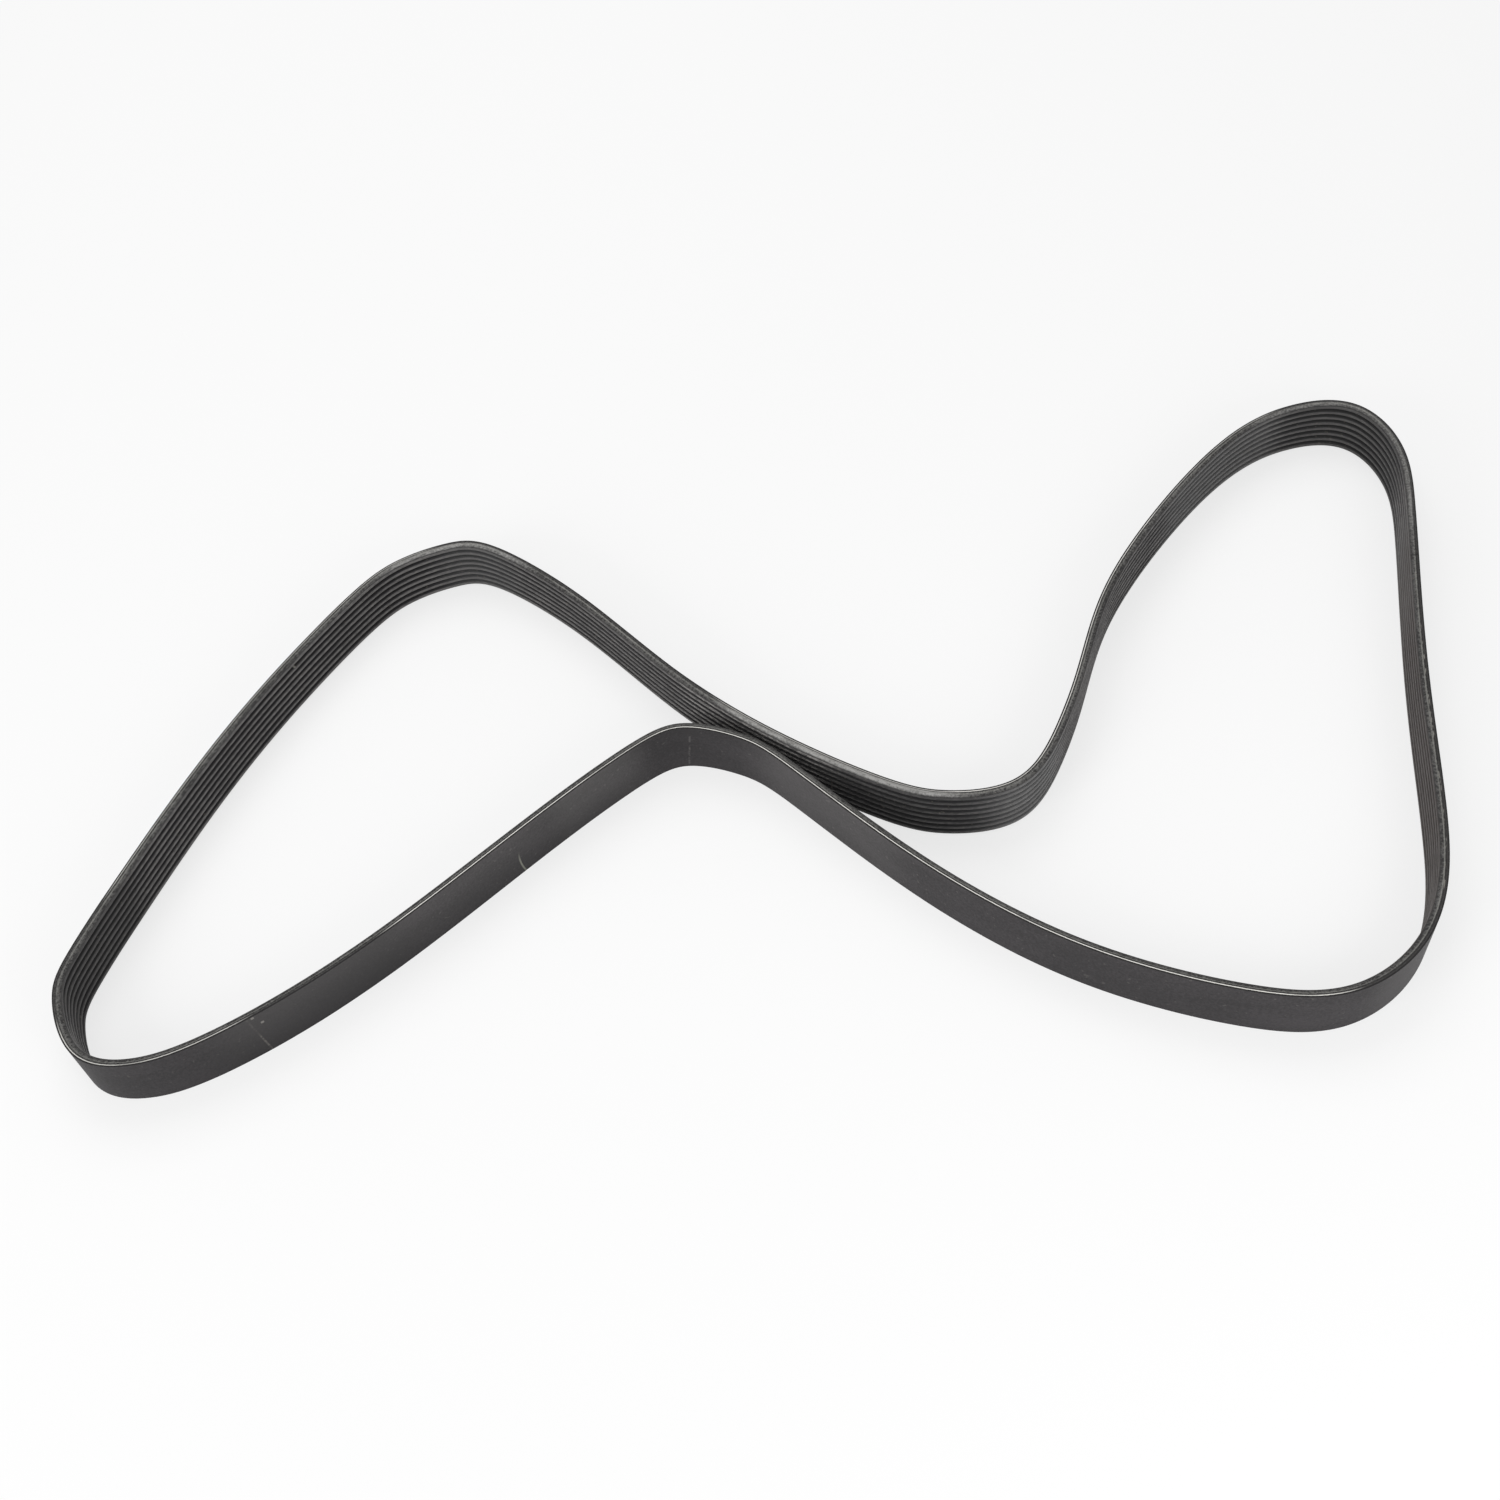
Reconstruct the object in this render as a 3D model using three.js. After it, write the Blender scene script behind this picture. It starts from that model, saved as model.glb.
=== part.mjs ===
// Serpentine belt: an endless V-ribbed belt, standing on its edge.
// Millimetres, +Z up, the longest way along X, the origin under the middle of its box.
// The belt is vulcanised in one piece, so it is one closed solid: a section with eight
// ribs, swept once around the loop that the belt lies in. The ribs face the loop's inside.
import * as THREE from "three";
import { NURBSCurve } from "three/addons/curves/NURBSCurve.js";
import { ParametricGeometry } from "three/addons/geometries/ParametricGeometry.js";
import { mergeVertices } from "three/addons/utils/BufferGeometryUtils.js";

// Section of the belt, the PK profile of car belts
const RIB_COUNT = 8;
const RIB_PITCH = 3.56;
const RIB_DEPTH = 2.3;
const RIB_ANGLE = 40; // degrees between the two flanks of a rib
const GROOVE_FLAT = 0.5; // width of the flat at the bottom of a groove
const BODY_THICKNESS = 1.9; // backing and cords, from the back to the grooves

// Size of the facets around the loop
const FACET_TURN = 6; // degrees
const FACET_RUN = 80;
const CURVE_SAMPLES = 4000;

// Points of the smooth back seen from above, clockwise, chosen by hand from the photo
const LOOP_POINTS = [
  // bend at the far right
  [294, 150], [326, 143], [337, 107],
  // right side
  [324, 50], [299, -44], [282, -115],
  // bend at the near right
  [260, -159], [224, -180], [180, -173], [120, -142],
  // near side, up to the waist
  [62, -90], [17, -36],
  // hump at the waist, bent against the loop
  [-4, -15], [-27, -5], [-51, -12],
  // near side, down to the left
  [-100, -46], [-172, -99], [-233, -132],
  // bend at the left
  [-268, -140], [-292, -130], [-303, -102], [-292, -66],
  // left side
  [-244, 24], [-193, 95],
  // bend at the far left
  [-164, 123], [-137, 132], [-111, 125],
  // far side, down past the waist
  [-70, 84], [-31, 33], [12, -12], [56, -46],
  // dip in the far side, bent against the loop
  [83, -58], [111, -57], [133, -35],
  // far side, up to the right
  [155, 7], [184, 60], [246, 126],
];

// Depth from the back and height above the bottom edge for each corner of the section
function sectionCorners() {
  const flankWidth = RIB_DEPTH * Math.tan(THREE.MathUtils.degToRad(RIB_ANGLE / 2));
  const halfRoot = (RIB_PITCH - GROOVE_FLAT) / 2;
  const halfTip = halfRoot - flankWidth;
  const tipDepth = BODY_THICKNESS + RIB_DEPTH;
  const beltWidth = RIB_COUNT * RIB_PITCH;
  const corners = [[0, beltWidth], [0, 0], [BODY_THICKNESS, 0]];
  for (let rib = 0; rib < RIB_COUNT; rib += 1) {
    const middle = (rib + 0.5) * RIB_PITCH;
    corners.push([BODY_THICKNESS, middle - halfRoot]);
    corners.push([tipDepth, middle - halfTip]);
    corners.push([tipDepth, middle + halfTip]);
    corners.push([BODY_THICKNESS, middle + halfRoot]);
  }
  corners.push([BODY_THICKNESS, beltWidth]);
  return corners;
}

// Control points of the closed cubic spline that passes through the given points, where
// (before + 4 * control + after) / 6 is the point. Each pass halves what is still missing.
function controlPointsThrough(points) {
  const count = points.length;
  let controls = points.map((point) => point.clone());
  for (let pass = 0; pass < count; pass += 1) {
    controls = controls.map((_, i) => {
      const before = controls[(i + count - 1) % count];
      const after = controls[(i + 1) % count];
      return points[i].clone().multiplyScalar(6).sub(before).sub(after).divideScalar(4);
    });
  }
  return controls;
}

// Closed curve of the back, as smooth as a belt that bends under its own stiffness
function backCurve() {
  const degree = 3;
  const points = LOOP_POINTS.map(([x, y]) => new THREE.Vector3(x, y, 0));
  const controls = controlPointsThrough(points);
  const wrapped = [...controls, ...controls.slice(0, degree)];
  const weighted = wrapped.map((point) => new THREE.Vector4(point.x, point.y, point.z, 1));
  const knots = Array.from({ length: wrapped.length + degree + 1 }, (_, i) => i);
  return new NURBSCurve(degree, knots, weighted, degree, wrapped.length);
}

// Even samples of the closed curve, each with the direction into the loop at its point
function curveSamples(curve) {
  const points = curve.getPoints(CURVE_SAMPLES).slice(0, CURVE_SAMPLES);
  return points.map((point, i) => {
    const before = points[(i + CURVE_SAMPLES - 1) % CURVE_SAMPLES];
    const after = points[(i + 1) % CURVE_SAMPLES];
    const heading = after.clone().sub(before).normalize();
    return { point, inward: new THREE.Vector3(heading.y, -heading.x, 0) };
  });
}

// The samples that the facets of the belt start at, closer together where it bends
function facetStations(samples) {
  const effort = [0];
  for (let i = 1; i <= CURVE_SAMPLES; i += 1) {
    const from = samples[i - 1];
    const to = samples[i % CURVE_SAMPLES];
    const run = to.point.distanceTo(from.point) / FACET_RUN;
    const turn = THREE.MathUtils.radToDeg(to.inward.angleTo(from.inward)) / FACET_TURN;
    effort.push(effort[i - 1] + run + turn);
  }
  const count = Math.ceil(effort[CURVE_SAMPLES]);
  return Array.from({ length: count }, (_, i) => {
    const wanted = (effort[CURVE_SAMPLES] * i) / count;
    return samples[effort.findIndex((value) => value >= wanted)];
  });
}

// The section swept once around the curve, as one closed surface
function beltGeometry() {
  const corners = sectionCorners();
  const stations = facetStations(curveSamples(backCurve()));
  const surfacePoint = (u, v, target) => {
    const station = stations[Math.round(u * stations.length) % stations.length];
    const [depth, height] = corners[Math.round(v * corners.length) % corners.length];
    target.copy(station.point).addScaledVector(station.inward, depth);
    target.z = height;
  };
  const surface = new ParametricGeometry(surfacePoint, stations.length, corners.length);
  surface.deleteAttribute("normal");
  surface.deleteAttribute("uv");
  const closed = mergeVertices(surface);
  closed.computeVertexNormals();
  return closed;
}

// The belt's mesh, moved so that the origin is under the middle of its box
function makeBelt() {
  const rubber = new THREE.MeshStandardMaterial({
    color: 0x464548,
    roughness: 0.75,
    metalness: 0,
  });
  const belt = new THREE.Mesh(beltGeometry(), rubber);
  belt.name = "belt";
  const middle = new THREE.Box3().setFromObject(belt).getCenter(new THREE.Vector3());
  belt.position.set(-middle.x, -middle.y, 0);
  return belt;
}

const serpentineBelt = new THREE.Group();
serpentineBelt.add(makeBelt());

export default serpentineBelt;
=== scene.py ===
import math
import bpy
import numpy as np
from mathutils import Matrix, Vector


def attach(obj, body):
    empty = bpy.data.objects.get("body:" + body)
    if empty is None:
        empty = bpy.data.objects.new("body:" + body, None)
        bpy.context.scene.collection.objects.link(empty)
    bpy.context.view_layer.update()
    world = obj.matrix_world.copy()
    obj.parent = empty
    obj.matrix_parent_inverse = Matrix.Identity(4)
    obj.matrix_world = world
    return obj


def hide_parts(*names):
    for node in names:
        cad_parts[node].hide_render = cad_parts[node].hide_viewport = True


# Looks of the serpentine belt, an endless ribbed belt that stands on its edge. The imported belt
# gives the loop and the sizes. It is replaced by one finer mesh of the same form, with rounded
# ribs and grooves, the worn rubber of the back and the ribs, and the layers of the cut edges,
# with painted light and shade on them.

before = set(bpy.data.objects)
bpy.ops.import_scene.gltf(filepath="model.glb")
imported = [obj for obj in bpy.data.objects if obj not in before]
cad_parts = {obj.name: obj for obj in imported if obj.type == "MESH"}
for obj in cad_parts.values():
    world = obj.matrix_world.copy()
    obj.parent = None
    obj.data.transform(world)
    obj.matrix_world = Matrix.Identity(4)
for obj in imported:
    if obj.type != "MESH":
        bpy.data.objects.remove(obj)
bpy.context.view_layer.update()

MM = 0.001
SEED = 8

# Section of the belt, as the part's source has it
RIB_COUNT = 8
RIB_PITCH = 3.56 * MM
RIB_DEPTH = 2.3 * MM
RIB_ANGLE = math.radians(40)
GROOVE_FLAT = 0.5 * MM
BODY_THICKNESS = 1.9 * MM
BELT_WIDTH = RIB_COUNT * RIB_PITCH

# Roundings that the moulded rubber has
TIP_RADIUS = 0.8 * MM
GROOVE_RADIUS = 0.3 * MM
CUT_RADIUS = 0.12 * MM

# Fineness of the mesh
STATION_RUN = 10 * MM
STATION_TURN = math.radians(2.1)
TIP_STEPS = 4
GROOVE_STEPS = 1
CUT_STEPS = 2
ROW_SUPPORT = 0.25 * MM
ROW_STEP = 3.0 * MM
LARGEST_ROUNDING = 0.45  # as a share of the shorter side beside the corner

# Steps that the loop is searched in, and the distance at which two corners are one
LOOP_STEPS = 8000
PLACE_STEP = 0.25 * MM
WELD_DISTANCE = 0.01 * MM

# Strips that the OFBake map lays the belt out in, and the empty share at their ends
BAKE_STRIPS = 5
BAKE_MARGIN = 0.01

# Unevenness of the rubber, all of it inwards, and the shortest run of its waves
BACK_INSET = 0.05 * MM
BACK_WAVE = 0.05 * MM
BACK_WAVE_RUN = 60 * MM
EDGE_WAVE = 0.06 * MM
EDGE_WAVE_RUN = 18 * MM
TIP_WAVE = 0.08 * MM
TIP_WAVE_RUN = 45 * MM
WAVE_PARTS = 9

# Places on the loop, seen from above, that marks and changes of tone are tied to. Distances
# along the loop run clockwise from its start, and heights up from the lower cut edge.
START = (309.1 * MM, 158.0 * MM)
NOTCH = (304.2 * MM, 54.8 * MM)
RIGHT_LEG = (275.5 * MM, -59.0 * MM)
SEAM = (-45.6 * MM, 10.2 * MM)
SCRATCH = (-124.2 * MM, -36.7 * MM)
SPLICE = (-233.4 * MM, -109.7 * MM)
RIB_SPECK = (-230.0 * MM, 84.5 * MM)
# Stretch of the ribs whose worn tips carry a painted highlight
TIP_HIGHLIGHT_START = (-35.2 * MM, 33.1 * MM)
TIP_HIGHLIGHT_STOP = (12.0 * MM, -10.0 * MM)
# Stretch of the ribs with painted shade, where the near strand stands in front of them
WAIST_START = (-12.0 * MM, 12.0 * MM)
WAIST_STOP = (72.0 * MM, -43.8 * MM)

# Light specks on the back: the place and the height of each
BACK_SPECKS = (
    ((-231.5 * MM, -108.8 * MM), 21.5 * MM),
    ((-234.2 * MM, -110.0 * MM), 27.3 * MM),
)

# Spots of the back with painted light: the place and half the length of each
PAINTED_LIGHT_SPOTS = (
    ((13.1 * MM, -37.2 * MM), 25 * MM),
    ((-84.0 * MM, -12.0 * MM), 14 * MM),
    ((238.0 * MM, -147.0 * MM), 16 * MM),
)

# Stretches of the back, from place to place, darkened with painted shade, and how strongly
PAINTED_SHADE_STRETCHES = (
    ((-190.0 * MM, -84.0 * MM), (-318.0 * MM, -80.0 * MM), 0.3),
    ((-184.0 * MM, -80.0 * MM), (-238.0 * MM, -112.0 * MM), 0.36),
    ((-29.0 * MM, 5.0 * MM), (-48.0 * MM, 9.5 * MM), 0.25),
    ((160.0 * MM, -157.0 * MM), (100.0 * MM, -125.0 * MM), 0.12),
)

# Stretch of the back with painted shade below and painted light above
GRADED_START = (-84.0 * MM, -12.0 * MM)
GRADED_STOP = (-235.0 * MM, -111.0 * MM)

# Stretches of the ribs, from place to place, that painted light and shade evens out, and their grey
PAINTED_RIB_TONES = (
    ((-319.0 * MM, -90.0 * MM), (-303.0 * MM, -40.0 * MM), 50),
    ((-146.0 * MM, 148.0 * MM), (-125.0 * MM, 146.0 * MM), 92),
    ((90.0 * MM, -40.0 * MM), (106.0 * MM, -25.0 * MM), 126),
    ((204.0 * MM, 120.0 * MM), (256.0 * MM, 158.0 * MM), 114),
    ((285.0 * MM, 164.0 * MM), (312.0 * MM, 120.0 * MM), 60),
    ((306.0 * MM, 74.0 * MM), (300.0 * MM, 38.0 * MM), 112),
)

# Stretches, from place to place, where the cut edge and the outer flanks have a painted sheen, and
# how strongly
PAINTED_SHEEN_STRETCHES = (
    ((-175.0 * MM, 141.0 * MM), (-116.0 * MM, 145.0 * MM), 1.0),
    ((-15.0 * MM, 14.0 * MM), (56.0 * MM, -41.0 * MM), 1.3),
    ((268.0 * MM, 162.0 * MM), (314.0 * MM, 85.0 * MM), 0.45),
)

# Stretches, from place to place, where the cord line shows at the cut edge, and how strongly
CORD_SHOWS = (
    ((196.5 * MM, -165.9 * MM), (-172.0 * MM, -72.3 * MM), 1.0),
    ((-245.3 * MM, -115.1 * MM), (-303.0 * MM, -104.0 * MM), 0.7),
    ((-300.0 * MM, -30.0 * MM), (-170.0 * MM, 143.0 * MM), 0.55),
    ((-22.0 * MM, 20.0 * MM), (68.0 * MM, -43.3 * MM), 0.5),
    ((77.8 * MM, -44.3 * MM), (185.0 * MM, 97.0 * MM), 0.8),
    ((191.8 * MM, 104.9 * MM), (256.8 * MM, 158.9 * MM), 0.5),
)

# Distances over which these stretches fade at their ends
BACK_FADE = 30 * MM
PAINTED_TONE_FADE = 25 * MM
SHEEN_FADE = 25 * MM
CORD_FADE = 15 * MM
WAIST_FADE = 30 * MM
TIP_HIGHLIGHT_FADE = 20 * MM

# Marks: half the size and the soft edge of each along the belt
SEAM_WIDTH = (0.2 * MM, 0.5 * MM)
SPLICE_WIDTH = (0.2 * MM, 0.4 * MM)
SCRATCH_WIDTH = (0.2 * MM, 0.4 * MM)
NOTCH_WIDTH = (0.4 * MM, 0.4 * MM)
BACK_SPECK_SIZE = (0.4 * MM, 0.5 * MM)
RIB_SPECK_WIDTH = (0.4 * MM, 0.3 * MM)
LEG_LENGTH = (110 * MM, 60 * MM)
SCUFFS_LENGTH = (60 * MM, 30 * MM)

# Marks: the middle, half the size and the soft edge of each up the belt
SEAM_HEIGHT = (12 * MM, 8 * MM, 6 * MM)
SPLICE_HEIGHT = (7 * MM, 6 * MM, 4 * MM)
SCRATCH_HEIGHT = (5.5 * MM, 2.5 * MM, 8.5 * MM)
RIB_SPECK_HEIGHT = (24.5 * MM, 0.5 * MM, 0.3 * MM)
NOTCH_BOTTOM = (20 * MM, 22 * MM)
LINE_LEAN = 3.2 * MM  # of the seam and the splice line, from the lower edge to the upper
SCRATCH_BOW = 1.5 * MM
BOW_HEIGHT = 10 * MM

# Layers of the cut edge and its painted sheen, by their depth from the back: where each begins
# or ends softly, and for the two light lines the middle, half the width and the soft edge
BACKING_END = (0.6 * MM, 0.75 * MM)
CORD_LINE = (0.92 * MM, 0.13 * MM, 0.09 * MM)
SHEEN_START = (1.2 * MM, 1.5 * MM)
SCUFFS_START = (1.2 * MM, 1.4 * MM)
UNDER_CORD_END = (1.35 * MM, 1.7 * MM)
ROOT_LINE = (2.1 * MM, 0.1 * MM, 0.25 * MM)
RAGGEDNESS = 0.3 * MM
LEG_LAYER_SHIFT = 0.3 * MM  # of the layer under the cord, on the right leg
OUTER_FLANK = (0.85 * MM, 1.1 * MM)  # by the distance from the nearer cut edge

# Camera, fitted to the belt's outline in the photo
CAMERA_TARGET = Vector((-16.9 * MM, 15.0 * MM, 0.0))
CAMERA_DISTANCE = 837 * MM
CAMERA_ELEVATION = math.radians(52.33)
CAMERA_ROLL = math.radians(-7.62)
PHOTO_PIXELS = 1500
FOCAL_PIXELS = 1800
SENSOR_WIDTH = 36

# Studio: sizes and places in metres, power in watts, and light as a share of white
FLOOR_HALF = 4.0
FLOOR_COLOUR = (0.9, 0.9, 0.9, 1.0)
FLOOR_LIFT = 0.7
ROOM_LIGHT = 0.5
WHITE = (1, 1, 1, 1)
LAMPS = (
    ("top_lamp", (-0.2, 0.9, 1.5), 1.2, 10),
    ("left_lamp", (-1.0, -0.75, 0.6), 0.6, 6),
    ("right_lamp", (0.35, -0.7, 0.45), 0.4, 2),
)

# Rays that see the white studio
CAMERA_RAYS = ("Is Camera Ray", "Is Glossy Ray", "Is Transmission Ray")


def shown(red, green, blue):
    """A colour as the screen shows it, from 0 to 255, turned into the renderer's own."""
    values = []
    for value in (red, green, blue):
        share = value / 255
        linear = share / 12.92 if share <= 0.04045 else ((share + 0.055) / 1.055) ** 2.4
        values.append(linear)
    return (*values, 1.0)


# Colours of the smooth back
BACK_DARK = shown(46, 44, 45)
BACK_GREY = shown(69, 66, 68)
BACK_DUST = shown(124, 121, 117)
# Grey of the painted light on spots of the back
PAINTED_SPOT_GREY = shown(128, 126, 125)
BACK_SHADE = shown(36, 35, 36)
# Grey of the painted light on the upper part of the back
PAINTED_UPPER_LIGHT = shown(150, 148, 146)
SEAM_GREY = shown(120, 117, 116)
SPLICE_GREY = shown(132, 128, 122)
SCRATCH_GREY = shown(140, 141, 130)
BACK_SPECK_GREY = shown(150, 147, 142)

# Colours of the ribs
# Grey of the painted shade deep in the grooves
GROOVE_SHADE = shown(27, 26, 27)
FLANK_GREY = shown(57, 56, 57)
WORN_TIP = shown(113, 111, 110)
# Grey of the painted highlight on the rib tips
TIP_HIGHLIGHT_GREY = shown(176, 173, 170)
WAIST_SHADE = shown(38, 38, 39)
OUTER_DARK = shown(46, 45, 45)
OUTER_GREY = shown(116, 115, 113)
# Grey of the painted sheen on the outer flanks
OUTER_SHEEN = shown(158, 157, 155)
RIB_DUST = shown(134, 128, 118)
LEG_BROWN = shown(68, 60, 56)
RIB_SPECK_GREY = shown(160, 158, 152)

# Colours of the cut edges
EDGE_DARK = shown(44, 44, 43)
EDGE_GREY = shown(90, 89, 88)
# Grey of the painted sheen on the cut edges
EDGE_SHEEN = shown(156, 155, 153)
ROOT_GREY = shown(146, 145, 140)
BACKING_DARK = shown(38, 37, 38)
UNDER_CORD_DARK = shown(42, 41, 41)
CORD_FAINT = shown(150, 148, 144)
CORD_WHITE = shown(238, 236, 230)
SCUFF_GREY = shown(160, 157, 150)
NOTCH_BLACK = shown(24, 24, 24)


class Loop:
    """The closed line of the belt's back, as the CAD node has it, smoothed through its corners."""

    def __init__(self, node):
        self.corners = self.bottom_corners(node)
        steps = np.linalg.norm(np.roll(self.corners, -1, 0) - self.corners, axis=1)
        self.knots = np.concatenate([[0.0], np.cumsum(steps)])
        self.length = self.knots[-1]
        self.bends = self.spline_bends(self.corners, steps)

    @staticmethod
    def bottom_corners(node):
        """Corners of the back at the bottom edge, clockwise seen from above."""
        mesh = node.data
        welded = {}
        points = []
        places = []
        for vertex in mesh.vertices:
            key = tuple(round(value / WELD_DISTANCE) for value in vertex.co)
            if key not in welded:
                welded[key] = len(points)
                points.append(vertex.co)
            places.append(welded[key])
        lowest = min(point.z for point in points) + WELD_DISTANCE

        # A side that only one bottom face uses lies on the rim of the bottom
        uses = {}
        for face in mesh.polygons:
            ring = [places[i] for i in face.vertices]
            if max(points[i].z for i in ring) > lowest:
                continue
            for one, two in zip(ring, ring[1:] + ring[:1]):
                pair = (min(one, two), max(one, two))
                uses[pair] = uses.get(pair, 0) + 1
        beside = {}
        for (one, two), count in uses.items():
            if count == 1:
                beside.setdefault(one, []).append(two)
                beside.setdefault(two, []).append(one)

        # The rim is followed from its outermost corner, which is one of the back's
        outermost = max(beside, key=lambda i: points[i].x)
        order = [outermost, beside[outermost][0]]
        while order[-1] != outermost:
            order.append(next(i for i in beside[order[-1]] if i != order[-2]))
        line = np.array([[points[i].x, points[i].y] for i in order[:-1]])
        ahead = np.roll(line, -1, 0)
        if np.sum(line[:, 0] * ahead[:, 1] - ahead[:, 0] * line[:, 1]) > 0:
            line = line[::-1]
        first = np.argmin(np.linalg.norm(line - np.array(START), axis=1))
        return np.roll(line, -first, 0)

    @staticmethod
    def spline_bends(points, steps):
        """Second derivatives at the corners of the closed cubic spline through them."""
        count = len(points)
        system = np.zeros((count, count))
        sides = np.zeros((count, 2))
        for i in range(count):
            ahead = (i + 1) % count
            system[i, i - 1] = steps[i - 1]
            system[i, i] = 2 * (steps[i - 1] + steps[i])
            system[i, ahead] = steps[i]
            slope_after = (points[ahead] - points[i]) / steps[i]
            slope_before = (points[i] - points[i - 1]) / steps[i - 1]
            sides[i] = 6 * (slope_after - slope_before)
        return np.linalg.solve(system, sides)

    def at(self, along):
        """Points and unit headings at distances along the loop."""
        along = np.mod(along, self.length)
        count = len(self.corners)
        i = np.clip(np.searchsorted(self.knots, along, "right") - 1, 0, count - 1)
        j = (i + 1) % count
        span = (self.knots[i + 1] - self.knots[i])[:, None]
        share = (along - self.knots[i])[:, None] / span
        rest = 1 - share
        bend = (rest**3 - rest) * self.bends[i] + (share**3 - share) * self.bends[j]
        points = rest * self.corners[i] + share * self.corners[j] + bend * span**2 / 6
        slope = (1 - 3 * rest**2) * self.bends[i] + (3 * share**2 - 1) * self.bends[j]
        heading = (self.corners[j] - self.corners[i]) / span + slope * span / 6
        return points, heading / np.linalg.norm(heading, axis=1)[:, None]

    def along_at(self, place):
        """Distance along the loop of the point nearest to a place seen from above."""
        tries = np.arange(0, self.length, PLACE_STEP)
        points, _ = self.at(tries)
        return float(tries[np.argmin(np.linalg.norm(points - np.array(place), axis=1))])

    def stations(self):
        """Distances along the loop for the mesh, closer together where the belt bends."""
        tries = np.linspace(0, self.length, LOOP_STEPS + 1)
        _, headings = self.at(tries)
        turn = np.arccos(np.clip(np.sum(headings[1:] * headings[:-1], axis=1), -1, 1))
        run = np.diff(tries)
        effort = np.concatenate([[0], np.cumsum(run / STATION_RUN + turn / STATION_TURN)])
        count = math.ceil(effort[-1])
        return np.interp(np.arange(count) * effort[-1] / count, effort, tries)


def rounded(before, corner, after, radius, steps):
    """Points of the arc that rounds a corner of the section."""
    to_before = (before - corner) / np.linalg.norm(before - corner)
    to_after = (after - corner) / np.linalg.norm(after - corner)
    half = math.acos(float(np.clip(np.dot(to_before, to_after), -1, 1))) / 2
    middle = (to_before + to_after) / np.linalg.norm(to_before + to_after)
    centre = corner + middle * radius / math.sin(half)
    first = corner + to_before * radius / math.tan(half) - centre
    last = corner + to_after * radius / math.tan(half) - centre
    start = math.atan2(first[1], first[0])
    turn = math.atan2(last[1], last[0]) - start
    turn = (turn + math.pi) % (2 * math.pi) - math.pi
    angles = start + turn * np.linspace(0, 1, steps + 1)
    return centre + radius * np.stack([np.cos(angles), np.sin(angles)], axis=1)


def section_corners():
    """Corners of the section, each with its rounding and the surface that follows it."""
    half_root = (RIB_PITCH - GROOVE_FLAT) / 2
    half_tip = half_root - RIB_DEPTH * math.tan(RIB_ANGLE / 2)
    tip = BODY_THICKNESS + RIB_DEPTH
    corners = [
        (0, 0, CUT_RADIUS, CUT_STEPS, "edge"),
        (BODY_THICKNESS, 0, CUT_RADIUS, CUT_STEPS, "rib"),
    ]
    for rib in range(RIB_COUNT):
        middle = (rib + 0.5) * RIB_PITCH
        corners.append((BODY_THICKNESS, middle - half_root, GROOVE_RADIUS, GROOVE_STEPS, "rib"))
        corners.append((tip, middle - half_tip, TIP_RADIUS, TIP_STEPS, "rib"))
        corners.append((tip, middle + half_tip, TIP_RADIUS, TIP_STEPS, "rib"))
        corners.append((BODY_THICKNESS, middle + half_root, GROOVE_RADIUS, GROOVE_STEPS, "rib"))
    corners.append((BODY_THICKNESS, BELT_WIDTH, CUT_RADIUS, CUT_STEPS, "edge"))
    corners.append((0, BELT_WIDTH, CUT_RADIUS, CUT_STEPS, "back"))
    return corners


def section_rows():
    """Rows of the mesh round the section: depth from the back, height, and surface after."""
    corners = section_corners()
    rows = []
    surfaces = []
    for i, (depth, height, radius, steps, surface) in enumerate(corners):
        before = np.array(corners[i - 1][:2])
        corner = np.array([depth, height])
        after = np.array(corners[(i + 1) % len(corners)][:2])
        reach = min(np.linalg.norm(before - corner), np.linalg.norm(after - corner))
        rows.extend(rounded(before, corner, after, min(radius, LARGEST_ROUNDING * reach), steps))
        surfaces.extend([corners[i - 1][4]] * steps + [surface])

    # Rows beside the roundings keep the flats flat, and rows between them keep faces small
    finer = []
    finer_surfaces = []
    for i, row in enumerate(rows):
        ahead = rows[(i + 1) % len(rows)]
        span = np.linalg.norm(ahead - row)
        finer.append(row)
        finer_surfaces.append(surfaces[i])
        if span < 4 * ROW_SUPPORT:
            continue
        inner = span - 2 * ROW_SUPPORT
        count = max(1, round(inner / ROW_STEP))
        for step in range(count + 1):
            reach = (ROW_SUPPORT + inner * step / count) / span
            finer.append(row + (ahead - row) * reach)
            finer_surfaces.append(surfaces[i])
    return np.array(finer), finer_surfaces


def slow_wave(random, along, length, shortest):
    """A gentle closed wave round the loop, between 0 and 1."""
    wave = np.zeros_like(along)
    total = 0
    for _ in range(WAVE_PARTS):
        turns = round(length / (shortest * (1 + 4 * random.random())))
        weight = 0.5 + random.random()
        wave += weight * np.sin(2 * math.pi * (turns * along / length + random.random()))
        total += weight
    return np.clip(0.5 + 0.8 * wave / total, 0, 1)


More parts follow.
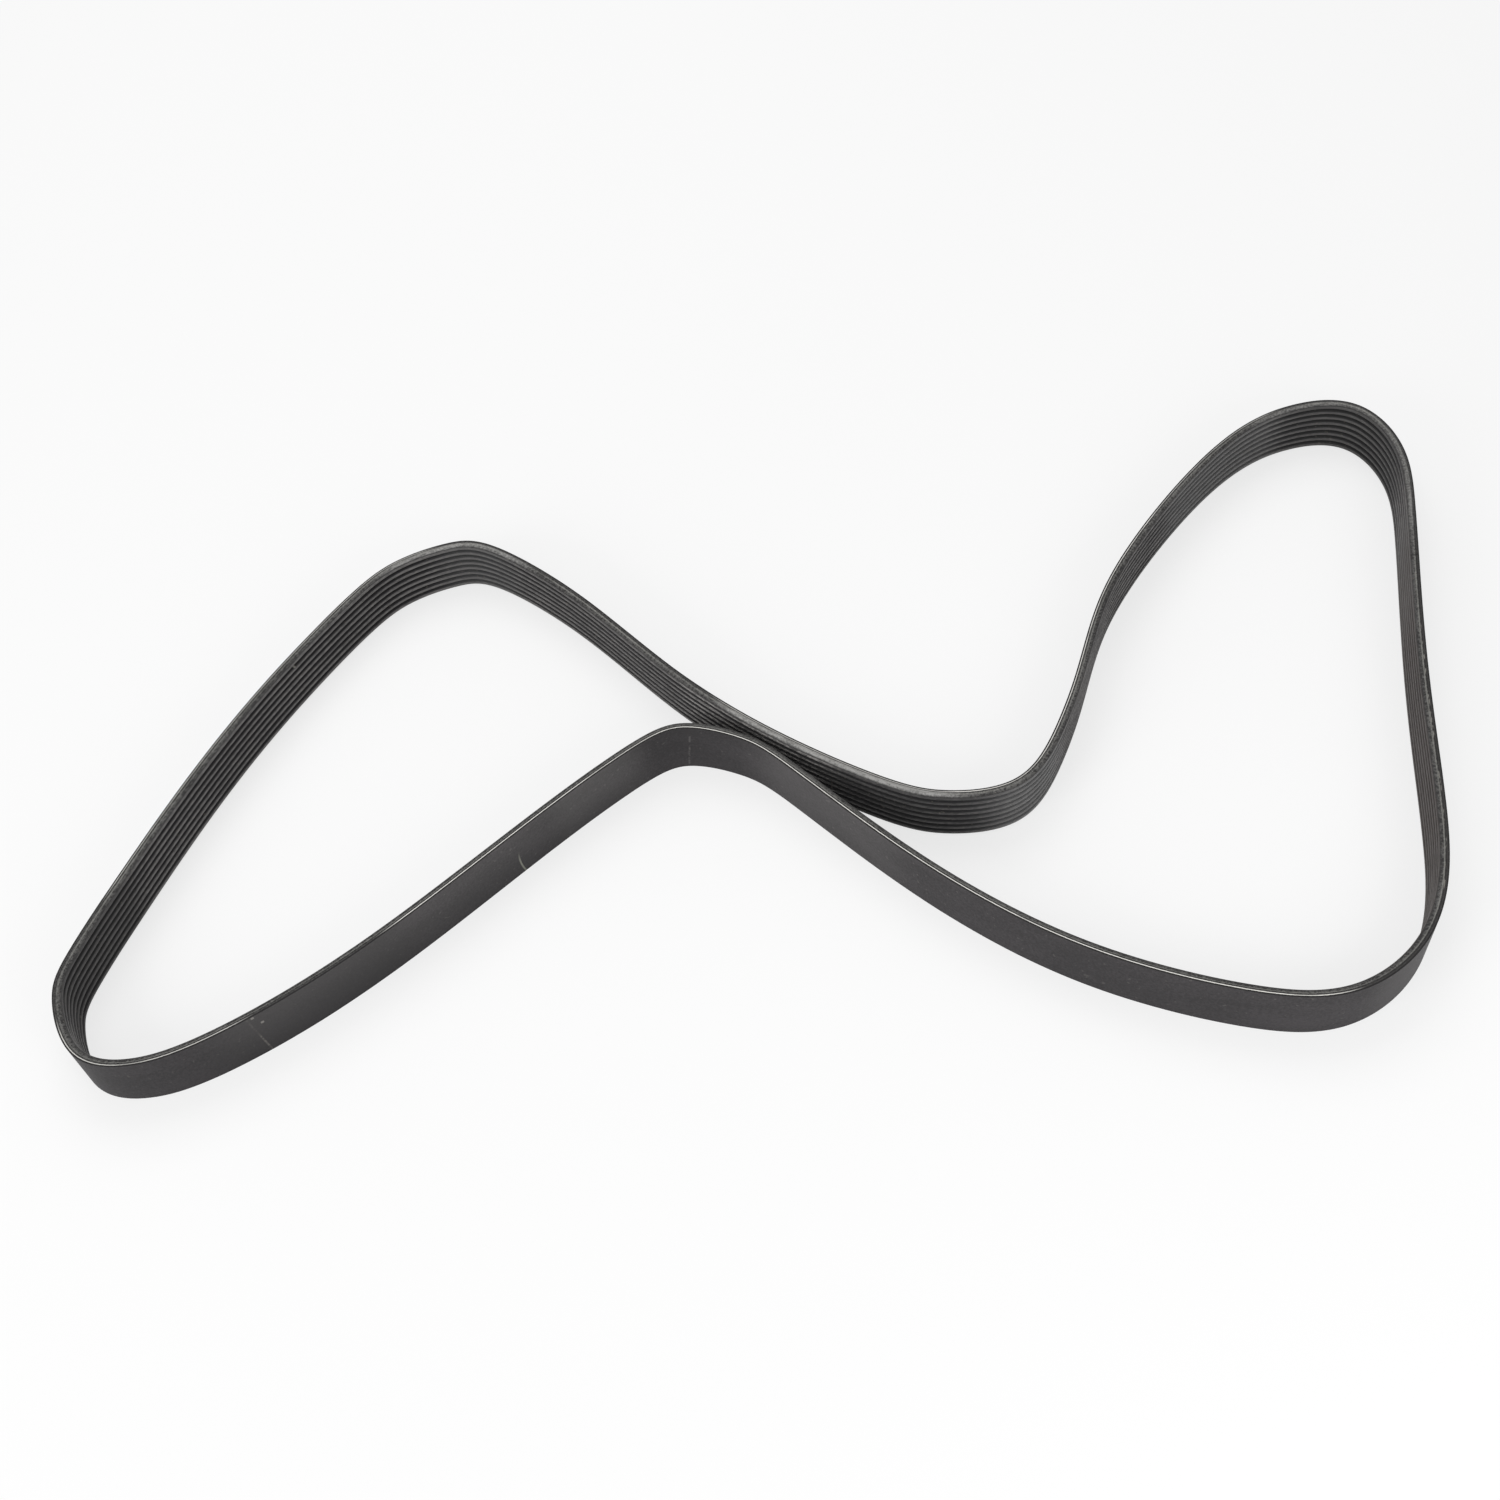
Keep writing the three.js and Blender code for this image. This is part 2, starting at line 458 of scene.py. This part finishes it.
def belt_points(loop, along, rows):
    """Mesh points of the belt, station by station, with the rubber's slight unevenness."""
    random = np.random.default_rng(SEED)
    places, headings = loop.at(along)
    inward = np.stack([headings[:, 1], -headings[:, 0]], axis=1)
    depths = np.repeat(rows[None, :, 0], len(along), axis=0)
    heights = np.repeat(rows[None, :, 1], len(along), axis=0)
    tip = np.clip((rows[:, 0] - BODY_THICKNESS) / RIB_DEPTH, 0, 1)
    for rib in range(RIB_COUNT):
        mine = tip * (rows[:, 1] // RIB_PITCH == rib)
        wear = slow_wave(random, along, loop.length, TIP_WAVE_RUN)
        depths -= TIP_WAVE * wear[:, None] * mine[None, :]
    on_back = rows[:, 0] < CUT_RADIUS
    dent = slow_wave(random, along, loop.length, BACK_WAVE_RUN)
    depths += (BACK_INSET + BACK_WAVE * dent[:, None]) * on_back[None, :]
    for side in (0, 1):
        on_cut = np.abs(rows[:, 1] - side * BELT_WIDTH) < 2 * CUT_RADIUS
        wave = slow_wave(random, along, loop.length, EDGE_WAVE_RUN)
        heights += (1 - 2 * side) * EDGE_WAVE * wave[:, None] * on_cut[None, :]
    flat = places[:, None, :] + inward[:, None, :] * depths[:, :, None]
    return np.concatenate([flat, heights[:, :, None]], axis=2)


def add_map(mesh, name, u, v):
    """Adds a flat map, with a place for each corner of each face."""
    layer = mesh.uv_layers.new(name=name)
    layer.data.foreach_set("uv", np.stack([u, v], axis=3).ravel())


def add_attribute(mesh, name, kind, field, values):
    """Adds a value for each point of the mesh."""
    attribute = mesh.attributes.new(name, kind, "POINT")
    attribute.data.foreach_set(field, values.ravel())


def make_belt(loop):
    """The belt as one closed mesh, with the coordinates that its finishes are painted by."""
    rows, surfaces = section_rows()
    along = loop.stations()
    points = belt_points(loop, along, rows)

    stations = len(along)
    count = len(rows)
    station, row = np.meshgrid(np.arange(stations), np.arange(count), indexing="ij")
    next_station = (station + 1) % stations
    next_row = (row + 1) % count
    corners = [
        station * count + row,
        next_station * count + row,
        next_station * count + next_row,
        station * count + next_row,
    ]
    faces = np.stack(corners, axis=2).reshape(-1, 4)
    mesh = bpy.data.meshes.new("ribbed_belt")
    mesh.from_pydata(points.reshape(-1, 3).tolist(), [], faces.tolist())
    mesh.polygons.foreach_set("use_smooth", np.ones(len(faces), bool))
    order = ["back", "edge", "rib"]
    slots = np.array([order.index(surface) for surface in surfaces], dtype=np.int32)
    mesh.polygons.foreach_set("material_index", np.tile(slots, stations))

    steps = np.linalg.norm(np.roll(rows, -1, 0) - rows, axis=1)
    across = np.concatenate([[0.0], np.cumsum(steps)])
    ends = np.append(along, loop.length)
    u = np.stack([ends[station], ends[station + 1], ends[station + 1], ends[station]], axis=2)
    v = np.stack([across[row], across[row], across[row + 1], across[row + 1]], axis=2)
    add_map(mesh, "run", u, v)

    # The belt is far too long for a square picture, so the OFBake map is cut into strips
    strip_length = loop.length / BAKE_STRIPS
    strip = np.minimum(along[station] // strip_length, BAKE_STRIPS - 1)[:, :, None]
    room = 1 - 2 * BAKE_MARGIN
    bake_u = BAKE_MARGIN + room * (u - strip * strip_length) / (strip_length + STATION_RUN)
    bake_v = (strip + BAKE_MARGIN + room * v / across[-1]) / BAKE_STRIPS
    add_map(mesh, "OFBake", bake_u, bake_v)

    # The noise is read on a true ring, so that it meets itself at the loop's start
    angle = 2 * math.pi * along / loop.length
    radius = loop.length / (2 * math.pi)
    ring = np.zeros((stations, count, 3))
    ring[:, :, 0] = (radius * np.cos(angle))[:, None]
    ring[:, :, 1] = (radius * np.sin(angle))[:, None]
    ring[:, :, 2] = across[None, :count]
    add_attribute(mesh, "ring", "FLOAT_VECTOR", "vector", ring)
    add_attribute(mesh, "depth", "FLOAT", "value", np.tile(rows[:, 0], stations))
    add_attribute(mesh, "height", "FLOAT", "value", np.tile(rows[:, 1], stations))
    mesh.update()
    belt = bpy.data.objects.new("ribbed_belt", mesh)
    bpy.context.scene.collection.objects.link(belt)
    return belt


class Tone:
    """A number that varies over a finish. Python's arithmetic on it adds Math nodes."""

    def __init__(self, finish, socket):
        self.finish = finish
        self.socket = socket

    def maths(self, operation, *values):
        return self.finish.maths(operation, *values)

    def __add__(self, other):
        return self.maths("ADD", self, other)

    def __radd__(self, other):
        return self.maths("ADD", other, self)

    def __sub__(self, other):
        return self.maths("SUBTRACT", self, other)

    def __rsub__(self, other):
        return self.maths("SUBTRACT", other, self)

    def __mul__(self, other):
        return self.maths("MULTIPLY", self, other)

    def __rmul__(self, other):
        return self.maths("MULTIPLY", other, self)

    def __truediv__(self, other):
        return self.maths("DIVIDE", self, other)

    def __pow__(self, other):
        return self.maths("POWER", self, other)

    def __abs__(self):
        return self.maths("ABSOLUTE", self)


class Nodes:
    """A node tree that is built from nothing."""

    def __init__(self, owner):
        owner.use_nodes = True
        self.tree = owner.node_tree
        self.tree.nodes.clear()

    def node(self, kind, settings=None, sockets=None, output=0):
        """Adds a node: its settings first, then the values or links of its sockets."""
        made = self.tree.nodes.new(kind)
        for name, value in (settings or {}).items():
            setattr(made, name, value)
        for name, value in (sockets or {}).items():
            if isinstance(value, Tone):
                self.tree.links.new(value.socket, made.inputs[name])
            else:
                made.inputs[name].default_value = value
        return Tone(self, made.outputs[output]) if made.outputs else None

    def seen_directly(self):
        """1 for rays from the camera, or from it by way of a mirror or glass, and 0 for light."""
        path = [self.node("ShaderNodeLightPath", output=name) for name in CAMERA_RAYS]
        return self.maths("MAXIMUM", path[0], self.maths("MAXIMUM", path[1], path[2]))

    def maths(self, operation, *values):
        return self.node("ShaderNodeMath", {"operation": operation}, dict(enumerate(values)))


class Finish(Nodes):
    """A material that is built node by node."""

    def __init__(self, name):
        self.material = bpy.data.materials.new(name)
        super().__init__(self.material)

    def attribute(self, name, output="Fac"):
        settings = {"attribute_type": "GEOMETRY", "attribute_name": name}
        return self.node("ShaderNodeAttribute", settings, output=output)

    def along(self):
        """Distance along the belt, in metres."""
        run = self.node("ShaderNodeUVMap", {"uv_map": "run"})
        return self.node("ShaderNodeSeparateXYZ", None, {"Vector": run}, "X")

    def noise(self, lengthwise, crosswise, detail=3.0, roughness=0.55):
        """Noise with so many grains to a metre along the belt, and across it."""
        ring = self.attribute("ring", "Vector")
        scale = (lengthwise, lengthwise, crosswise)
        stretched = self.node("ShaderNodeVectorMath", {"operation": "MULTIPLY"}, {0: ring, 1: scale})
        sockets = {"Vector": stretched, "Scale": 1.0, "Detail": detail, "Roughness": roughness}
        return self.node("ShaderNodeTexNoise", None, sockets)

    def rise(self, value, low, high):
        """0 below low, 1 above high, and a soft step between them."""
        settings = {"interpolation_type": "SMOOTHSTEP"}
        sockets = {"Value": value, "From Min": low, "From Max": high}
        return self.node("ShaderNodeMapRange", settings, sockets)

    def band(self, value, middle, half, soft):
        """1 within half of the middle, fading to 0 over the soft distance outside it."""
        return 1 - self.rise(abs(value - middle), half, half + soft)

    def stretch(self, loop, along, start, stop, soft):
        """1 between two places, clockwise along the loop, fading to 0 beyond them."""
        first = loop.along_at(start)
        last = loop.along_at(stop)
        middle = (first + last) / 2
        half = abs(last - first) / 2
        if first < last:
            return self.band(along, middle, half, soft)
        # It runs over the loop's start, so it is all that the rest of the loop leaves
        return 1 - self.band(along, middle, half - soft, soft)

    def mix(self, share, one, two):
        """A colour between two, by the share of the second."""
        return self.node("ShaderNodeMix", {"data_type": "RGBA"}, {0: share, 6: one, 7: two}, 2)

    def bump(self, height, distance, strength=1.0, under=None):
        """Relief from a height of 0 to 1, as deep as the distance in metres."""
        sockets = {"Height": height, "Distance": distance, "Strength": strength}
        if under:
            sockets["Normal"] = under
        return self.node("ShaderNodeBump", None, sockets)

    def end(self, colour, roughness, normal, specular):
        """Ends the finish with its surface."""
        sockets = {
            "Base Color": colour,
            "Roughness": roughness,
            "Normal": normal,
            "Specular IOR Level": specular,
        }
        surface = self.node("ShaderNodeBsdfPrincipled", None, sockets)
        self.node("ShaderNodeOutputMaterial", None, {"Surface": surface})
        return self.material


def smooth_back(loop):
    """The back: charcoal rubber, faint dust, a fine grain, a few handling marks, painted light and
    shade.
    """
    finish = Finish("smooth_back_rubber")
    along = finish.along()
    height = finish.attribute("height")
    clouds = finish.noise(18, 60, detail=4)
    mottle = finish.noise(850, 850, detail=3, roughness=0.7)
    grain = finish.noise(1500, 1500, detail=2, roughness=0.7)
    share = finish.rise(clouds * 0.45 + mottle * 0.55, 0.34, 0.66)
    colour = finish.mix(share, BACK_DARK, BACK_GREY)
    dust = finish.rise(finish.noise(420, 420, detail=1), 0.68, 0.78)
    colour = finish.mix(dust * 0.25, colour, BACK_DUST)
    # Painted light: paler spots of the back
    for place, half in PAINTED_LIGHT_SPOTS:
        painted_light = finish.band(along, loop.along_at(place), half, 1.3 * half)
        colour = finish.mix(painted_light * (0.1 + 0.1 * clouds), colour, PAINTED_SPOT_GREY)
    # Painted shade: darker stretches of the back
    for start, stop, strength in PAINTED_SHADE_STRETCHES:
        painted_shade = finish.stretch(loop, along, start, stop, BACK_FADE)
        colour = finish.mix(painted_shade * strength, colour, BACK_SHADE)
    # Painted shade darkens the lower part of the whole back, most on the graded stretch, where
    # painted light brightens the upper part
    upper = height / BELT_WIDTH
    graded = finish.stretch(loop, along, GRADED_START, GRADED_STOP, BACK_FADE)
    colour = finish.mix((1 - upper) * (0.25 + 0.37 * graded), colour, BACK_SHADE)
    colour = finish.mix(upper * graded * 0.1, colour, PAINTED_UPPER_LIGHT)

    broken = finish.rise(finish.noise(300, 500, detail=2), 0.4, 0.6)
    lean = LINE_LEAN * height / BELT_WIDTH
    seam = finish.band(along + lean, loop.along_at(SEAM), *SEAM_WIDTH) * broken
    seam = seam * finish.band(height, *SEAM_HEIGHT)
    colour = finish.mix(seam * 0.3, colour, SEAM_GREY)
    splice = finish.band(along - lean, loop.along_at(SPLICE), *SPLICE_WIDTH)
    splice = splice * (0.3 + 0.7 * broken)
    splice = splice * (0.3 + 0.7 * finish.band(height, *SPLICE_HEIGHT))
    colour = finish.mix(splice * 0.35, colour, SPLICE_GREY)
    bow = SCRATCH_BOW * (height / BOW_HEIGHT - 1) ** 2
    scratch = finish.band(along + bow, loop.along_at(SCRATCH), *SCRATCH_WIDTH)
    scratch = scratch * finish.band(height, *SCRATCH_HEIGHT)
    colour = finish.mix(scratch * 0.68, colour, SCRATCH_GREY)
    for place, up in BACK_SPECKS:
        speck = finish.band(along, loop.along_at(place), *BACK_SPECK_SIZE)
        speck = speck * finish.band(height, up, *BACK_SPECK_SIZE)
        colour = finish.mix(speck * 0.6, colour, BACK_SPECK_GREY)

    roughness = 0.5 + 0.12 * clouds + 0.12 * grain
    relief = finish.bump(mottle, 0.08 * MM, 0.6)
    relief = finish.bump(grain, 0.04 * MM, 0.5, relief)
    relief = finish.bump(seam + splice, 0.05 * MM, 0.6, relief)
    return finish.end(colour, roughness, relief, 0.22)


def root_line(finish, depth):
    """The paler rubber where the ribs join the body, seen at the cut edge."""
    patchy = finish.rise(finish.noise(14, 14, detail=3), 0.35, 0.6)
    return finish.band(depth, *ROOT_LINE) * (0.15 + 0.4 * patchy)


def sheen_share(finish, loop, along):
    """A paler painted sheen on a few stretches of the cut edge and the outer flanks."""
    share = 0.0
    for start, stop, strength in PAINTED_SHEEN_STRETCHES:
        share = finish.stretch(loop, along, start, stop, SHEEN_FADE) * strength + share
    return share * (0.5 + 0.5 * finish.rise(finish.noise(120, 900, detail=3), 0.35, 0.6))


def notch(finish, loop, along, height):
    """A dark nick across the upper edge of the right leg."""
    across = finish.band(along, loop.along_at(NOTCH), *NOTCH_WIDTH)
    return 0.6 * across * finish.rise(height, *NOTCH_BOTTOM)


def right_leg(finish, loop, along):
    """The right leg, where the rubber is scuffed."""
    return finish.band(along, loop.along_at(RIGHT_LEG), *LEG_LENGTH)


def ribbed_side(loop):
    """The ribs: painted shade in the grooves, greyer worn tips, a lengthwise grain and painted
    light.
    """
    finish = Finish("ribbed_side_rubber")
    along = finish.along()
    depth = finish.attribute("depth")
    height = finish.attribute("height")
    clouds = finish.noise(22, 90, detail=4)
    streaks = finish.noise(60, 2600, detail=2)
    scratches = finish.noise(420, 1500, detail=2)
    mottle = finish.noise(900, 900, detail=3, roughness=0.7)
    level = (depth - BODY_THICKNESS) / RIB_DEPTH
    # Painted shade: the colour darkens from the flanks down into the grooves
    colour = finish.mix(finish.rise(level, 0.1, 0.9), GROOVE_SHADE, FLANK_GREY)
    wear = finish.rise(level + 0.3 * clouds + 0.35 * streaks, 1.08, 1.36)
    wear = wear * (0.55 + 0.45 * finish.rise(scratches, 0.35, 0.6))
    colour = finish.mix(wear, colour, WORN_TIP)
    # Painted light and shade: the ribs of these stretches are evened towards the grey of each, paler
    # on some and darker on others
    for start, stop, grey in PAINTED_RIB_TONES:
        painted_tone = finish.stretch(loop, along, start, stop, PAINTED_TONE_FADE)
        painted_tone = painted_tone * (0.15 + 0.3 * clouds + 0.4 * scratches)
        colour = finish.mix(painted_tone, colour, shown(grey, grey, grey))
    # Painted shade on the ribs below the waist, where the near strand stands in front of them
    strand_shade = finish.stretch(loop, along, WAIST_START, WAIST_STOP, WAIST_FADE)
    colour = finish.mix(strand_shade * (0.72 - 0.2 * wear), colour, WAIST_SHADE)
    # Painted highlight on the worn tips of one stretch of the ribs
    tip_highlight = finish.stretch(loop, along, TIP_HIGHLIGHT_START, TIP_HIGHLIGHT_STOP, TIP_HIGHLIGHT_FADE)
    colour = finish.mix(tip_highlight * wear**3 * 0.7, colour, TIP_HIGHLIGHT_GREY)

    inset = BELT_WIDTH / 2 - abs(height - BELT_WIDTH / 2)
    outer = 1 - finish.rise(inset, *OUTER_FLANK)
    flecks = finish.rise(0.8 * mottle + 0.2 * scratches + 0.3 * clouds, 0.56, 0.76)
    # Outer flanks: random pale flecks, with painted light towards the root and painted shade towards
    # the tip
    outer_flecks_and_light = finish.mix(flecks * (1 - level), OUTER_DARK, OUTER_GREY)
    # Painted sheen on the outer flanks of a few stretches, towards the root
    sheen = sheen_share(finish, loop, along) * (1 - finish.rise(level, 0.4, 0.8))
    outer_flecks_and_light = finish.mix(sheen * (0.5 + 0.5 * flecks), outer_flecks_and_light, OUTER_SHEEN)
    colour = finish.mix(outer, colour, outer_flecks_and_light)
    colour = finish.mix(outer * root_line(finish, depth), colour, ROOT_GREY)

    dust = finish.rise(finish.noise(500, 900, detail=1), 0.66, 0.78)
    colour = finish.mix(dust * 0.25, colour, RIB_DUST)
    leg = right_leg(finish, loop, along)
    colour = finish.mix(leg * (1 - outer) * (0.3 + 0.3 * scratches), colour, LEG_BROWN)
    speck = finish.band(along, loop.along_at(RIB_SPECK), *RIB_SPECK_WIDTH)
    speck = speck * finish.band(height, *RIB_SPECK_HEIGHT)
    colour = finish.mix(speck * 0.8, colour, RIB_SPECK_GREY)
    colour = finish.mix(outer * notch(finish, loop, along, height), colour, NOTCH_BLACK)

    roughness = 0.7 - 0.18 * wear + 0.08 * mottle
    relief = finish.bump(mottle, 0.06 * MM, 0.6)
    relief = finish.bump(streaks, 0.05 * MM, 0.6, relief)
    return finish.end(colour, roughness, relief, 0.2)


def cut_edge(loop):
    """The cut edges: the back's dark backing, the pale cord line, and the grey rib rubber."""
    finish = Finish("cut_edge_rubber")
    along = finish.along()
    depth = finish.attribute("depth")
    height = finish.attribute("height")
    ragged = finish.noise(900, 900, detail=3, roughness=0.7)
    place = depth + RAGGEDNESS * (ragged - 0.5)
    fuzz = finish.noise(1000, 1400, detail=3, roughness=0.75)
    colour = finish.mix(finish.rise(fuzz, 0.4, 0.6), EDGE_DARK, EDGE_GREY)
    # Painted sheen on the cut edge of a few stretches
    sheen = sheen_share(finish, loop, along) * finish.rise(place, *SHEEN_START)
    colour = finish.mix(sheen * (0.5 + 0.4 * fuzz), colour, EDGE_SHEEN)
    colour = finish.mix(root_line(finish, place), colour, ROOT_GREY)
    backing = 1 - finish.rise(place, *BACKING_END)
    colour = finish.mix(backing * 0.9, colour, BACKING_DARK)
    leg = right_leg(finish, loop, along)
    under_cord = 1 - finish.rise(place - LEG_LAYER_SHIFT * leg, *UNDER_CORD_END)
    colour = finish.mix(under_cord * (0.5 + 0.3 * leg), colour, UNDER_CORD_DARK)

    cord = finish.band(place, *CORD_LINE)
    shows = 0.0
    for start, stop, strength in CORD_SHOWS:
        shows = finish.stretch(loop, along, start, stop, CORD_FADE) * strength + shows
    patchy = finish.rise(finish.noise(60, 60, detail=3), 0.25, 0.5)
    colour = finish.mix(cord * 0.06, colour, CORD_FAINT)
    colour = finish.mix(cord * shows * (0.55 + 0.45 * patchy), colour, CORD_WHITE)

    scuffs = finish.band(along, loop.along_at(RIGHT_LEG), *SCUFFS_LENGTH)
    scuffs = scuffs * finish.rise(finish.noise(180, 900, detail=2), 0.52, 0.62)
    scuffs = scuffs * finish.rise(place, *SCUFFS_START)
    colour = finish.mix(scuffs * 0.6, colour, SCUFF_GREY)
    colour = finish.mix(notch(finish, loop, along, height), colour, NOTCH_BLACK)

    roughness = 0.75 + 0.15 * fuzz
    relief = finish.bump(fuzz, 0.12 * MM, 0.8)
    return finish.end(colour, roughness, relief, 0.15)


def make_floor():
    """A plain pale floor that keeps the belt's shadow."""
    mesh = bpy.data.meshes.new("floor")
    signs = ((-1, -1), (1, -1), (1, 1), (-1, 1))
    corners = [(x * FLOOR_HALF, y * FLOOR_HALF, 0) for x, y in signs]
    mesh.from_pydata(corners, [], [(0, 1, 2, 3)])
    floor = bpy.data.objects.new("floor", mesh)
    bpy.context.scene.collection.objects.link(floor)
    finish = Finish("pale_floor")
    sockets = {"Color": FLOOR_COLOUR, "Roughness": 0.0}
    paint = finish.node("ShaderNodeBsdfDiffuse", None, sockets)
    lift = finish.node("ShaderNodeEmission", None, {"Color": WHITE, "Strength": 1.0})
    share = finish.seen_directly() * FLOOR_LIFT
    blend = finish.node("ShaderNodeMixShader", None, {0: share, 1: paint, 2: lift})
    finish.node("ShaderNodeOutputMaterial", None, {"Surface": blend})
    mesh.materials.append(finish.material)


def add_lamp(name, place, size, power):
    """A soft square lamp that shines on the middle of the floor."""
    lamp = bpy.data.lights.new(name, "AREA")
    lamp.size = size
    lamp.energy = power
    box = bpy.data.objects.new(name, lamp)
    box.location = place
    box.rotation_euler = (-Vector(place)).to_track_quat("-Z", "Y").to_euler()
    box.visible_camera = False
    bpy.context.scene.collection.objects.link(box)


def make_light():
    """Plain soft studio light: an even pale room and three large lamps."""
    scene = bpy.context.scene
    world = bpy.data.worlds.new("studio")
    scene.world = world
    studio = Nodes(world)
    room = studio.node("ShaderNodeBackground", None, {"Color": WHITE, "Strength": ROOM_LIGHT})
    white = studio.node("ShaderNodeBackground", None, {"Color": WHITE, "Strength": 1.0})
    sockets = {0: studio.seen_directly(), 1: room, 2: white}
    blend = studio.node("ShaderNodeMixShader", None, sockets)
    studio.node("ShaderNodeOutputWorld", None, {"Surface": blend})
    for name, place, size, power in LAMPS:
        add_lamp(name, place, size, power)
    scene.view_settings.view_transform = "Standard"


def make_camera():
    """The camera at the photo's angle and lens."""
    tilt = CAMERA_ELEVATION
    forward = Vector((0, math.cos(tilt), -math.sin(tilt)))
    level = Vector((1, 0, 0))
    upright = Vector((0, math.sin(tilt), math.cos(tilt)))
    right = level * math.cos(CAMERA_ROLL) + upright * math.sin(CAMERA_ROLL)
    up = upright * math.cos(CAMERA_ROLL) - level * math.sin(CAMERA_ROLL)
    place = CAMERA_TARGET - forward * CAMERA_DISTANCE
    data = bpy.data.cameras.new("camera")
    data.sensor_width = SENSOR_WIDTH
    data.lens = FOCAL_PIXELS / PHOTO_PIXELS * SENSOR_WIDTH
    camera = bpy.data.objects.new("camera", data)
    axes = Matrix((right, up, -forward)).transposed()
    camera.matrix_world = Matrix.Translation(place) @ axes.to_4x4()
    bpy.context.scene.collection.objects.link(camera)
    bpy.context.scene.camera = camera


make_camera()
make_light()
make_floor()

belt_loop = Loop(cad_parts["belt"])
belt = make_belt(belt_loop)
belt.data.materials.append(smooth_back(belt_loop))
belt.data.materials.append(cut_edge(belt_loop))
belt.data.materials.append(ribbed_side(belt_loop))
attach(belt, "root")
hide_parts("belt")
